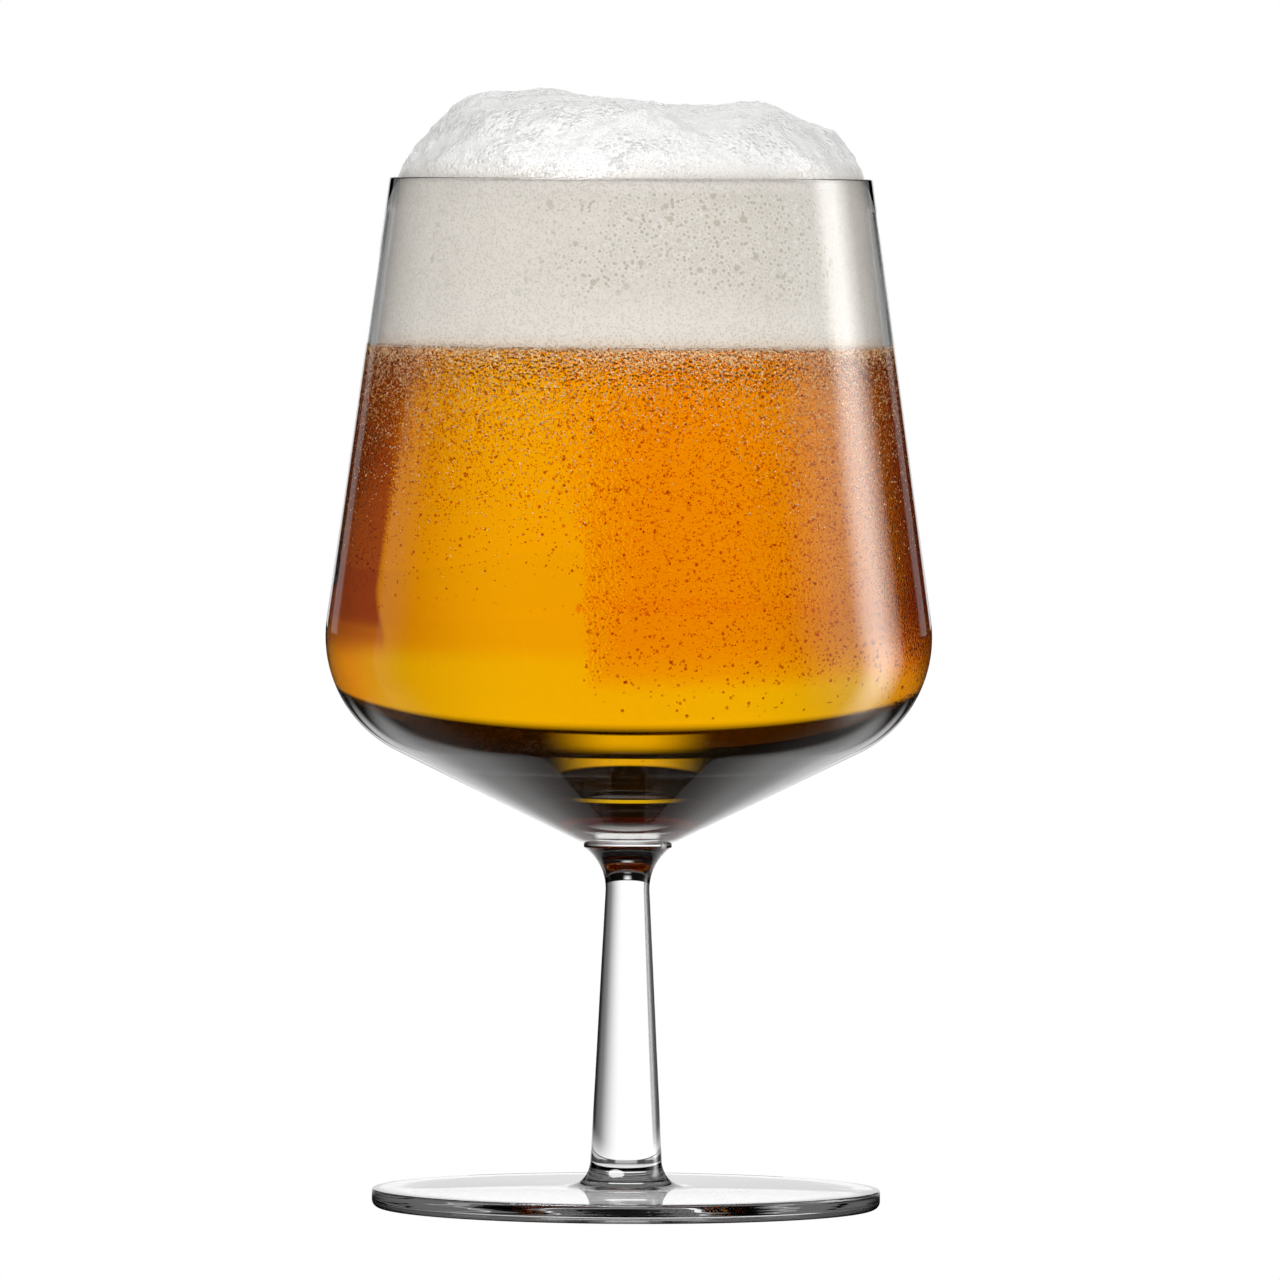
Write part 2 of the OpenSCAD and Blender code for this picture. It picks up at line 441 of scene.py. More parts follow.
# Drink: its colour by depth, and the fine grain of gas at its front, near the head and on the full side;
# its dark specks are painted shade
AMBER = (0.9955, 0.893, 0.0, 1.0)
AMBER_DENSITY = 85.0
GAS_GRAIN = 1900.0
GAS_SHADE_SPECK = (0.80, 0.38, 0.20, 1.0)
HEAD_HAZE = 0.035
SIDE_HAZE = 0.7
SIDE_HAZE_FADE = 0.02
FRONT_SOFT = 0.004
GAS_RELIEF = {"strength": 0.8, "distance": 0.0003}


def golden_beer():
    """Clear golden beer: amber by depth, with a fine grain of gas near the head and on one side, its specks
    painted shade.
    """
    material, sheet, shader, where = new_material("golden_beer", **{
        "Roughness": 0.0,
        "IOR": 1.34,
        "Transmission Weight": 1.0,
    })
    depth = sheet.node("ShaderNodeVolumeAbsorption")
    depth.inputs["Color"].default_value = AMBER
    depth.inputs["Density"].default_value = AMBER_DENSITY
    output = material.node_tree.nodes["Material Output"]
    sheet.feed(output.inputs["Volume"], depth.outputs["Volume"])
    x, y, z = sheet.split(where)
    grain, own = sheet.cells(where, GAS_GRAIN)
    near_head = sheet.slope(z, BEER_Z - HEAD_HAZE, BEER_Z)
    on_side = sheet.times(
        sheet.slope(x, GAS_EDGE - GAS_SOFT, GAS_EDGE + GAS_SOFT, 0.0, SIDE_HAZE),
        sheet.slope(z, GAS_LOW_Z, GAS_LOW_Z + SIDE_HAZE_FADE),
    )
    in_front = sheet.slope(y, -FRONT_SOFT, FRONT_SOFT, 1.0, 0.0)
    gassy = sheet.times(sheet.math("MAXIMUM", near_head, on_side), in_front)
    # Painted shade: dark specks in the colour the drink lets through, for the light its fine gas bends away
    specks = sheet.times(sheet.slope(grain, 0.24, 0.46, 1.0, 0.0), sheet.slope(own, 0.3, 0.7), gassy)
    sheet.feed(shader.inputs["Base Color"], sheet.tint(specks, WHITE, GAS_SHADE_SPECK))
    sheet.feed(shader.inputs["Normal"], sheet.bump(sheet.times(grain, gassy), **GAS_RELIEF))
    return material


# Gas beads: cells that give each bead its own share, and the darkest and palest tint, which are painted
# shade
BEAD_CELLS = 1500.0
DARK_BEAD_SHADE = (0.58, 0.24, 0.13, 1.0)
PALE_BEAD_SHADE = (0.88, 0.54, 0.34, 1.0)


def gas_bead():
    """Gas bead in the drink: it hardly bends light and lets it through redder, each by its own share; the
    redder tint is painted shade in place of the dark look that bending would give it.
    """
    material, sheet, shader, where = new_material("gas_bead", **{
        "Roughness": 0.0,
        "IOR": 1.03,
        "Transmission Weight": 1.0,
    })
    own = sheet.cells(where, BEAD_CELLS)[1]
    share = sheet.slope(own, 0.2, 0.8)
    # Painted shade: each bead darkens and reddens the drink seen through it
    sheet.feed(shader.inputs["Base Color"], sheet.tint(share, DARK_BEAD_SHADE, PALE_BEAD_SHADE))
    return material


# Foam: fine, small and large cells to a metre, and the clouds that gather them in patches
FINE_CELLS = 2400.0
SMALL_CELLS = 1100.0
LARGE_CELLS = 520.0
CLOUD_SCALE = 110.0
# Patches: where they come in on the left and end on the right, how high they lie, and their share beyond
PATCH_LEFT = (GAS_EDGE - 0.016, GAS_EDGE + 0.010)
PATCH_RIGHT = (RIM_R - 0.014, RIM_R - 0.003)
PATCH_Z = (LIP_Z - 0.013, LIP_Z - 0.003)
PATCH_SOFT = (0.010, 0.002)
PATCH_LEAST = 0.2
# Heights at which the froth is fresh, hangs in the drink, or is soaked by it
FRESH_Z = (LIP_Z - 0.001, LIP_Z + 0.004)
HANGING_Z = (BEER_Z - 0.0006, BEER_Z - 0.0003)
SOAKED_Z = (BEER_Z, BEER_Z + 0.0025)
# Tints against the glass, darker than above the lip partly as painted shade; in the patches, with painted
# shade over them; at the drink; and above the lip
WET_SHADED_DARK = (0.72, 0.68, 0.61, 1.0)
WET_SHADED_PALE = (0.85, 0.805, 0.745, 1.0)
PATCH_PAINTED_SHADE = (0.68, 0.64, 0.57, 1.0)
RIM_TINT = (0.84, 0.80, 0.75, 1.0)
DISC_TINT = (0.60, 0.56, 0.47, 1.0)
SOAKED_TINT = (0.74, 0.50, 0.28, 1.0)
HANGING_TINT = (1.0, 0.74, 0.46, 1.0)
DRY_DARK = (0.89, 0.885, 0.875, 1.0)
DRY_PALE = (0.95, 0.948, 0.94, 1.0)
# Relief: how deep the discs lie and how high the grain and the wet domes stand, as shares
DISC_DEPTH = -0.35
GRAIN_H = 0.6
BEADED_H = 3.0
FOAM_RELIEF = {"strength": 0.7, "distance": 0.0002}


def wet_foam():
    """Off-white froth: a fine grain all over and round cells of many sizes in patches, each cell a little
    darker and deeper than its bright wall. Wetter and warmer against the glass than above it, and darker
    there partly by painted shade, with more painted shade over the patches; soaked where it meets the
    drink, and beaded with small wet domes where it stands free."""
    material, sheet, shader, where = new_material("wet_foam", **{
        "Roughness": 0.45,
        "IOR": 1.33,
        "Coat Weight": 0.6,
        "Coat Roughness": 0.08,
    })
    x, _, z = sheet.split(where)
    fine = sheet.cells(where, FINE_CELLS)[0]
    small, small_own = sheet.cells(where, SMALL_CELLS)
    large, large_own = sheet.cells(where, LARGE_CELLS)
    cloud = sheet.noise(where, CLOUD_SCALE, 3.0)
    spread = sheet.times(
        sheet.slope(x, *PATCH_LEFT, PATCH_LEAST, 1.0),
        sheet.slope(x, *PATCH_RIGHT, 1.0, PATCH_LEAST),
        sheet.band(z, *PATCH_Z, *PATCH_SOFT),
    )
    patch = sheet.slope(sheet.total(cloud, sheet.times(spread, 0.6)), 0.50, 1.0)
    small_disc = sheet.times(
        sheet.slope(small, 0.28, 0.38, 1.0, 0.0),
        sheet.slope(small_own, 0.1, 0.7, 0.3, 1.0),
    )
    large_disc = sheet.times(
        sheet.slope(large, 0.20, 0.36, 1.0, 0.0),
        sheet.slope(large_own, 0.66, 0.70),
    )
    discs = sheet.times(sheet.math("MAXIMUM", small_disc, large_disc), patch)
    rims = sheet.times(sheet.band(small, 0.40, 0.46, 0.06, 0.12), patch)
    grain = sheet.slope(fine, 0.1, 0.55)
    fresh = sheet.slope(z, *FRESH_Z)
    hanging = sheet.slope(z, *HANGING_Z, 1.0, 0.0)
    soaked = sheet.times(
        sheet.slope(z, *SOAKED_Z, 0.8, 0.0),
        sheet.slope(fine, 0.15, 0.5, 1.0, 0.3),
    )
    # Against the glass: the wetter froth's tint, kept darker than above the lip partly as painted shade
    wet = sheet.tint(grain, WET_SHADED_DARK, WET_SHADED_PALE)
    # Painted shade over the patches, toward the right
    wet = sheet.tint(sheet.times(spread, 0.5), wet, PATCH_PAINTED_SHADE)
    wet = sheet.tint(rims, wet, RIM_TINT)
    wet = sheet.tint(discs, wet, DISC_TINT)
    wet = sheet.tint(soaked, wet, SOAKED_TINT)
    wet = sheet.tint(hanging, wet, HANGING_TINT)
    dry = sheet.tint(grain, DRY_DARK, DRY_PALE)
    sheet.feed(shader.inputs["Base Color"], sheet.tint(fresh, wet, dry))
    bubbly = sheet.slope(cloud, 0.42, 0.60)
    beaded = sheet.times(sheet.slope(small, 0.0, 0.6, 1.0, 0.0), fresh, bubbly)
    height = sheet.total(
        sheet.times(discs, DISC_DEPTH),
        sheet.times(grain, GRAIN_H),
        sheet.times(beaded, BEADED_H),
    )
    relief = sheet.bump(height, **FOAM_RELIEF)
    sheet.feed(shader.inputs["Normal"], relief)
    sheet.feed(shader.inputs["Coat Normal"], relief)
    return material


# Underside of the head: its mottling to a metre, and the darkest and palest tint
MOTTLE_SCALE = 400.0
SHADE_DARK = (0.13, 0.055, 0.015, 1.0)
SHADE_PALE = (0.20, 0.09, 0.03, 1.0)


def froth_underside():
    """Underside of the head, in the shade of the drink."""
    material, sheet, shader, where = new_material("froth_underside", **{"Roughness": 0.6})
    mottle = sheet.slope(sheet.noise(where, MOTTLE_SCALE), 0.3, 0.7)
    sheet.feed(shader.inputs["Base Color"], sheet.tint(mottle, SHADE_DARK, SHADE_PALE))
    return material


GLASS = clear_glass()
SEAM = fused_seam()
BEER = golden_beer()
GAS = gas_bead()
FOAM = wet_foam()
SHADED_FROTH = froth_underside()


def glass_piece(name, outline, node, seams):
    """A turned piece of glass. The stretches of its outline that are fused to the next piece are seams."""
    points, faces, stretch = revolve(outline, SIDES)
    piece = make_piece(name, points, faces, [GLASS, SEAM], np.isin(stretch, seams))
    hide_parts(node)


def make_glass():
    """Bowl, stem and foot; each fused face is the first or last stretch of its outline."""
    bowl = bowl_outline()
    stem = stem_outline()
    foot = foot_outline()
    glass_piece("glass_bowl", bowl, "bowl", [0])
    glass_piece("glass_stem", stem, "stem", [0, len(stem) - 2])
    glass_piece("glass_foot", foot, "foot", [len(foot) - 2])


# An octahedron's faces, as numbers of the points +x +y +z -x -y -z
OCTAHEDRON = np.array([
    [0, 1, 2], [1, 3, 2], [3, 4, 2], [4, 0, 2],
    [1, 0, 5], [3, 1, 5], [4, 3, 5], [0, 4, 5],
])


def ball_shape(splits):
    """Unit ball of few faces: an octahedron, its faces split in four and pushed out as often as asked."""
    points = np.concatenate([np.eye(3), -np.eye(3)])
    faces = OCTAHEDRON
    for _ in range(splits):
        corners = points[faces]
        middles = corners + np.roll(corners, -1, axis=1)
        middles /= np.linalg.norm(middles, axis=2, keepdims=True)
        a, b, c = corners[:, 0], corners[:, 1], corners[:, 2]
        ab, bc, ca = middles[:, 0], middles[:, 1], middles[:, 2]
        soup = np.stack([a, ab, ca, ab, b, bc, ca, bc, c, ab, bc, ca], axis=1).reshape(-1, 3)
        points, places = np.unique(np.round(soup, SAME_DIGITS), axis=0, return_inverse=True)
        faces = places.reshape(-1, 3)
    return points, faces


def balls(centres, radii, splits):
    """One ball at each centre: centre plus radius times the unit ball."""
    unit, unit_faces = ball_shape(splits)
    points = centres[:, None, :] + radii[:, None, None] * unit[None]
    offset = np.arange(len(centres))[:, None, None] * len(unit)
    return points.reshape(-1, 3), (unit_faces[None] + offset).reshape(-1, 3)


def wall_radius(outline, heights):
    """Radius of the drink's wall at each height, read off its outline."""
    return np.interp(heights, outline[:, 1], outline[:, 0])


def ramp(values, start, end):
    """Straight rise from 0 at start to 1 at end."""
    return np.clip((values - start) / (end - start), 0.0, 1.0)


# Gas beads: gap under the head, least depth in radii, and least distance from the axis
GAS_TOP_GAP = 0.0006
GAS_CLEARANCE = 1.3
GAS_AXIS_GAP = 0.001
# Heights over which the gas comes in, on its full side and on its thin side
GAS_LOW_FADE = 0.010
GAS_THIN_FADE = 0.03
GAS_THIN_POWER = 1.5
# Close to the drink's left edge more of the gas clings, and lower
LEFT_EDGE = (0.034, 0.040)
LEFT_EDGE_SHARE = 0.6
LEFT_EDGE_FADE = 0.01
# Behind the axis little gas shows, and none low down
BACK_GAS = 0.05
BACK_SOFT = 0.01
BACK_GAS_Z = (0.098, 0.11)
# Small and large beads: number tried, least radius and spread, crowding to the top, depth from the wall
SMALL_COUNT = 32000
SMALL_R = 0.00010
SMALL_SPREAD = 0.00009
SMALL_CROWD = 0.6
SMALL_DEPTH = 0.0004
LARGE_COUNT = 3600
LARGE_R = 0.00018
LARGE_SPREAD = 0.00010
LARGE_CROWD = 1.3
LARGE_DEPTH = 0.0006


def gas_places(outline, count, crowd, radii, depth):
    """Places of gas beads just inside the drink's wall. Heights are crowded to the top by a power, the angle
    is drawn evenly and the depth falls off from the wall. The gas clings more to one side and to the top."""
    heights = GAS_LOW_Z + (BEER_Z - GAS_TOP_GAP - GAS_LOW_Z) * rng.random(count) ** crowd
    turn = 2 * math.pi * rng.random(count)
    inside = radii * GAS_CLEARANCE + depth * rng.exponential(1.0, count)
    reach = np.maximum(wall_radius(outline, heights) - inside, GAS_AXIS_GAP)
    centres = np.stack([reach * np.cos(turn), reach * np.sin(turn), heights], axis=1)
    across, along = centres[:, 0], centres[:, 1]
    full_side = ramp(across, GAS_EDGE - GAS_SOFT, GAS_EDGE + GAS_SOFT)
    full = ramp(heights, GAS_LOW_Z, GAS_LOW_Z + GAS_LOW_FADE)
    thin = ramp(heights, GAS_THIN_Z, GAS_THIN_Z + GAS_THIN_FADE) ** GAS_THIN_POWER
    at_left = LEFT_EDGE_SHARE * ramp(-across, *LEFT_EDGE)
    thin = np.maximum(thin, at_left * ramp(heights, GAS_THIN_Z, GAS_THIN_Z + LEFT_EDGE_FADE))
    near = BACK_GAS + (1 - BACK_GAS) * ramp(-along, -BACK_SOFT, BACK_SOFT)
    far_low = np.where(along > 0, ramp(heights, *BACK_GAS_Z), 1.0)
    kept = rng.random(count) < near * far_low * (thin + (full - thin) * full_side)
    return centres[kept], radii[kept]


def make_beer():
    """The drink: the bowl's hollow up to the head, with its gas beads as small closed hollows inside."""
    outline = hollow_outline(BEER_INSET, BEER_Z)
    solid = chain(outline, (0, outline[-1, 1]))
    points, faces, _ = revolve(solid, BEER_SIDES)
    shell = len(faces)
    small_r = SMALL_R + SMALL_SPREAD * rng.random(SMALL_COUNT)
    large_r = LARGE_R + LARGE_SPREAD * rng.random(LARGE_COUNT)
    small = gas_places(outline, SMALL_COUNT, SMALL_CROWD, small_r, SMALL_DEPTH)
    large = gas_places(outline, LARGE_COUNT, LARGE_CROWD, large_r, LARGE_DEPTH)
    for (centres, radii), splits in ((small, 0), (large, 1)):
        ball_points, ball_faces = balls(centres, radii, splits)
        faces += (ball_faces[:, ::-1] + len(points)).tolist()
        points = np.concatenate([points, ball_points])
    gas_faces = np.arange(len(faces)) >= shell
    piece = make_piece("poured_beer", points, faces, [BEER, GAS], gas_faces, crease=deg(80))
    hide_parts("beer")


# Froth beads under the head: number tried, least radius and spread, drop below it, depth from the wall
FROTH_COUNT = 38000
FROTH_R = 0.00010
FROTH_SPREAD = 0.00010
FROTH_DROP = 0.0001
FROTH_DEPTH = 0.00012
# How far they hang: some short all round, the rest by their place across
SHORT_SHARE = 0.30
SHORT_FALL = 0.0012
LEFT_FALL = 0.009
RIGHT_FALL = 0.004
FAR_RIGHT = (0.016, 0.034)
FAR_RIGHT_FALL = 0.014
FALL_FADE = (0.012, 0.040)
# A row of them breaks up the head's lower edge: share, height, and how far it rises and stands proud
EDGE_SHARE = 0.16
EDGE_ROW = 0.0007
EDGE_RISE = 0.0005
EDGE_PROUD = 0.00008
# Few hang behind the axis
BACK_FROTH = 0.12
BACK_FROTH_SOFT = 0.2


def make_froth_beads():
    """Froth that hangs under the head on the glass: tiny beads whose number dies away downwards, by a
    falling exponential, and a row of them that breaks up the head's lower edge."""
    outline = hollow_outline(FOAM_INSET, BEER_Z)
    turn = 2 * math.pi * rng.random(FROTH_COUNT)
    across = np.cos(turn) * BELLY_R
    right_fall = RIGHT_FALL + FAR_RIGHT_FALL * ramp(across, *FAR_RIGHT)
    long_fall = np.where(across < GAS_EDGE, LEFT_FALL, right_fall)
    is_short = rng.random(FROTH_COUNT) < SHORT_SHARE
    fall = np.where(is_short, SHORT_FALL, long_fall) * rng.exponential(1.0, FROTH_COUNT)
    at_edge = rng.random(FROTH_COUNT) < EDGE_SHARE
    fall = np.where(at_edge, EDGE_ROW * rng.random(FROTH_COUNT) - EDGE_RISE, fall)
    near = BACK_FROTH + (1 - BACK_FROTH) * ramp(-np.sin(turn), -BACK_FROTH_SOFT, BACK_FROTH_SOFT)
    kept = rng.random(FROTH_COUNT) < near * (1 - ramp(fall, *FALL_FADE))
    turn, fall, at_edge = turn[kept], fall[kept], at_edge[kept]
    radii = FROTH_R + FROTH_SPREAD * rng.random(len(turn)) ** 2
    heights = BEER_Z - FROTH_DROP - fall
    sunk = radii + FROTH_DEPTH * rng.exponential(1.0, len(turn))
    inside = np.where(at_edge, radii - EDGE_PROUD, sunk)
    reach = wall_radius(outline, heights) - inside
    centres = np.stack([reach * np.cos(turn), reach * np.sin(turn), heights], axis=1)
    points, faces = balls(centres, radii, 0)
    piece = make_piece("hanging_froth", points, faces.tolist(), [FOAM], crease=deg(180))
    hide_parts("foam_head")


# The foam's dome: its height over the lip, how square it is, how it eases into the lip, and how fast its
# hills die away there
DOME_H = 0.0128
DOME_POWER = 3.5
DOME_EASE = 0.72
HILL_FADE_POWER = 8
# Hills and hollows: place across and along as shares of the mouth's radius, height as a share of the
# dome's height, and breadth across and along as shares of the mouth's radius
HILL_SHARES = np.array([
    [-0.90, 0.00, 0.016, 0.10, 0.25],
    [-0.76, 0.00, 0.148, 0.10, 0.25],
    [-0.62, 0.00, 0.127, 0.10, 0.30],
    [-0.48, 0.00, 0.032, 0.10, 0.30],
    [-0.34, 0.00, 0.127, 0.10, 0.30],
    [-0.20, 0.00, -0.027, 0.10, 0.30],
    [0.08, 0.00, -0.038, 0.10, 0.30],
    [0.22, 0.00, -0.108, 0.10, 0.35],
    [0.36, 0.00, -0.056, 0.10, 0.35],
    [0.50, 0.00, 0.035, 0.10, 0.30],
    [0.64, 0.00, 0.025, 0.10, 0.30],
    [0.78, 0.00, -0.051, 0.10, 0.25],
    [0.90, 0.00, 0.140, 0.10, 0.25],
    [-0.10, -0.66, 0.09, 0.24, 0.16],
    [0.36, -0.60, -0.09, 0.18, 0.18],
    [-0.55, -0.58, 0.10, 0.15, 0.15],
    [0.64, -0.62, 0.10, 0.20, 0.14],
    [-0.84, -0.40, -0.10, 0.06, 0.16],
    [0.46, 0.56, 0.10, 0.20, 0.20],
    [-0.30, 0.58, -0.09, 0.18, 0.18],
    [-0.02, 0.78, 0.08, 0.15, 0.15],
    [-0.68, 0.50, 0.10, 0.14, 0.14],
])
# Soft folds over the crown: number of waves, shortest and longest wave, and height
FOLD_COUNT = 48
FOLD_WAVES = (0.002, 0.010)
FOLD_H = 0.00015
# Bubble domes over the crown: number, least and greatest radius, how rare the large ones are, and flatness
BUBBLE_COUNT = 2000
BUBBLE_SIZES = (0.0003, 0.0012)
BUBBLE_RARITY = 3
BUBBLE_FLATNESS = 0.2
# Share of the mouth's radius over which folds and domes die away at the lip
CROWN_FADE = 0.04


def crown_height(x, y):
    """Height of the foam over the lip at a place in shares of the mouth's radius: a squarish dome plus soft
    bell-shaped hills and hollows that die away at the lip."""
    u = np.minimum(np.hypot(x, y), 1.0)
    across = (x[..., None] - HILL_SHARES[:, 0]) / HILL_SHARES[:, 3]
    along = (y[..., None] - HILL_SHARES[:, 1]) / HILL_SHARES[:, 4]
    bells = np.exp(-(across ** 2 + along ** 2) / 2) @ HILL_SHARES[:, 2]
    return DOME_H * ((1 - u ** DOME_POWER) ** DOME_EASE + (1 - u ** HILL_FADE_POWER) * bells)


def soft_folds(points, count):
    """Smooth uneven height from -1 to 1 or so: a sum of cosine waves of many lengths, directions, phases."""
    wave = FOLD_WAVES[0] * (FOLD_WAVES[1] / FOLD_WAVES[0]) ** rng.random(count)
    aim = rng.normal(size=(3, count))
    aim *= 2 * math.pi / (wave * np.linalg.norm(aim, axis=0))
    phase = 2 * math.pi * rng.random(count)
    weight = wave / np.sqrt((wave ** 2).sum() / 2)
    return np.cos(points @ aim + phase) @ weight


def surface_normals(grid):
    """Outward unit normals of a grid that closes round on itself: the step round the rows crossed with the
    step from row to row."""
    along = np.gradient(grid, axis=0)
    around = np.roll(grid, -1, axis=1) - np.roll(grid, 1, axis=1)
    normals = np.cross(around, along)
    length = np.linalg.norm(normals, axis=2, keepdims=True)
    return normals / np.maximum(length, NO_LENGTH)


def froth_domes(grid, count, sizes, flatness):
    """Height of bubble domes over a surface: at each point, the highest of the balls that sit on it."""
    points = grid.reshape(-1, 3)
    picked = rng.choice(len(points), count, replace=False)
    radii = sizes[0] + (sizes[1] - sizes[0]) * rng.random(count) ** BUBBLE_RARITY
    height = np.zeros(len(points))
    for middle, radius in zip(points[picked], radii):
        rest = radius ** 2 - ((points - middle) ** 2).sum(axis=1)
        height = np.maximum(height, flatness * np.sqrt(np.maximum(rest, 0.0)))
    return height.reshape(grid.shape[:2])


def make_foam():
    """The head: flat underside, straight wall against the glass, and the crown with its froth."""
    low_z = BEER_Z - FOAM_DIP
    wall_line = hollow_outline(FOAM_INSET, LIP_Z)
    heights = np.linspace(low_z, LIP_Z, FOAM_WALL_ROWS + 1)
    wall_r = wall_radius(wall_line, heights)
    wall = turned(np.stack([wall_r, heights], axis=1), FOAM_SIDES)
    share = np.cos(np.linspace(0.0, math.pi / 2, CROWN_RINGS + 1))[1:-1]
    spots = share[:, None, None] * unit_ring(FOAM_SIDES)[None]
    rise = crown_height(spots[..., 0], spots[..., 1])
    crown = np.concatenate([wall_r[-1] * spots, (LIP_Z + rise)[..., None]], axis=2)
    normals = surface_normals(crown)
    froth = froth_domes(crown, BUBBLE_COUNT, BUBBLE_SIZES, BUBBLE_FLATNESS)
    folds = FOLD_H * soft_folds(crown, FOLD_COUNT)
    fade = ramp(1 - share, 0.0, CROWN_FADE)[:, None]
    crown = crown + normals * ((froth + folds) * fade)[..., None]
    grid = np.concatenate([wall, crown])
    points, faces = close_grid(grid, low_z, crown[-1, :, 2].mean())
    underside = (len(grid) - 1) * FOAM_SIDES
    shaded = np.zeros(len(faces), int)
    shaded[underside:underside + FOAM_SIDES] = 1
    looks = [FOAM, SHADED_FROTH]
    piece = make_piece("foam_head_froth", points, faces, looks, shaded, crease=deg(60))
    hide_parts("foam_head")


# Studio: the light behind the glass, the floor's light on the foam, and how many times as much of the sky's
# light the froth in the drink gets
BACKLIGHT = 1.12
FLOOR_LIGHT = 0.8
FROTH_LIGHT = 2.8
# Floor: how far below the glass it lies, so that faces never share a plane, and half its width
FLOOR_DROP = 0.0003
FLOOR_HALF = 6.0
# Faces that light has gone through once it has crossed the drink, and once it has met gas in it
DRINK_CROSSINGS = 4.5
GAS_CROSSINGS = 6.5
# Lights and tints behind the drink
DRINK_GLOW = (0.30, 0.085, 0.008, 1.0)
LOW_GLOW = (0.90, 0.50, 0.05, 1.0)
FLOOR_TINT = (0.98, 0.83, 0.80, 1.0)
RUDDY_TINT = (0.96, 0.69, 0.50, 1.0)
HIGH_RUDDY_TINT = (0.95, 0.57, 0.45, 1.0)
SIDE_TINT = (0.76, 0.52, 0.45, 1.0)
RIGHT_TINT = (0.66, 0.64, 0.45, 1.0)
PLAIN_LIGHT = grey(0.9)
BACKLIGHT_GREY = grey(BACKLIGHT)
# Lift that the sky at the horizon has in common with the far floor
LEVEL_LIFT = 0.25
# Directions behind clear glass, round from the back with left negative: slow fall, its end, and the left end
RIGHT_FADE = span(6, 44)
RIGHT_END = span(44, 65)
LEFT_END = span(-41, -34.5)
# Directions behind the drink: slow fall, crisp and mild edge of the glow, left glow, ruddy edge and its lean
SLOW_FADE = span(8, 32)
CRISP_EDGE = span(31, 33)
MILD_EDGE = span(28, 48)
LEFT_GLOW = span(-30, -50)
RUDDY_EDGE = span(3.5, 3.9)
RUDDY_LEAN = deg(-0.75)
PLAIN_START = span(80, 105)
# Panels round from the back: where each starts and ends, then its soft width at each side
LEFT_SPAN = span(-72, -69, 20, 1.5)
RIGHT_SPAN = span(71.5, 73.5, 22, 13)
TAIL_SPAN = span(70, 84, 10, 34)
# Directions off the back that mirrors see: the back itself, a strip beside it, the rear floor and the floor
# ahead; and for inner faces, the clear back and the dark beyond it
BACK_END = span(11, 15)
BACK_STRIP = span(24, 31, 2, 3)
REAR_END = span(22, 34)
AHEAD_END = span(44, 58)
CLEAR_BACK = span(6, 30)
DARK_START = span(60, 90)
# Heights in the sky: the backdrop's top, the two slots above it and their width off the back, the lift and
# the rise of the light behind the drink, the tops of the panels, and the overhead light
CEILING = span(9.6, 11.2)
CEILING_SHADE = 0.004
LOW_SLOT = span(12.2, 13.5, 0.6, 9)
LOW_SLOT_LIGHT = 0.85
HIGH_SLOT = span(26, 27, 0.3, 0.3)
HIGH_SLOT_LIGHT = 0.9
SLOT_END = span(1, 9)
LIFT_UP = span(-0.5, 4)
RISE_UP = span(3, 6.5)
PANEL_TOP = span(30, 50)
PANEL_DIP = span(2, 45)
OVERHEAD = span(45, 70)
OVERHEAD_LIGHT = 0.8
BACK_STRIP_LIGHT = 0.3
# Panels that the outside of the glass mirrors, and the shade that its inner faces mirror
LEFT_PANEL = 0.2
RIGHT_PANEL = 4.6
RIGHT_TAIL = 1.1
INNER_SHADE = 0.14
# Light box over the camera's left shoulder: where it is, its soft edge, and its strength
BOX_AIM = (-0.42, -0.56, 0.71)
BOX_EDGE = (0.92, 0.95)
BOX_LIGHT = 14.0
# Distances on the floor from the axis: white round the foot, lift, and the part seen high on the glass
FOOT_WHITE = (0.045, 0.09)
LIFT_AWAY = (1.0, FLOOR_HALF)
HIGH_AWAY = (1.17, 1.25)
HIGH_SOFT = 0.35
# Distances for what the outside mirrors: shade at the foot, glow round it, its end, and what lies behind
SHADE_AWAY = (0.03, 0.09)
GLOW_AWAY = (0.09, 0.18)
GLOW_END = (0.13, 0.24)
GLOW_BACK = (-0.02, 0.03)
BEHIND_AWAY = (0.45, 0.9)
REAR_AWAY = (0.26, 0.4)
# Distances for what the inner faces mirror, through clear glass and through the drink
CLEAR_START = (0.034, 0.046)
CLEAR_AWAY = (0.05, 0.10)
DROWNED_AWAY = (0.06, 0.12)
# Camera: a long lens, set by the scale of the photo at the glass
CAMERA_DISTANCE = 2.45
CAMERA_SIDE = 0.00138
CAMERA_ROLL = deg(-0.3)
CAMERA_REACH = 20.0
AIM_Z = 0.0894
PIXELS_PER_METRE = 6361.0
PHOTO_PIXELS = 1280.0
SENSOR = 36.0


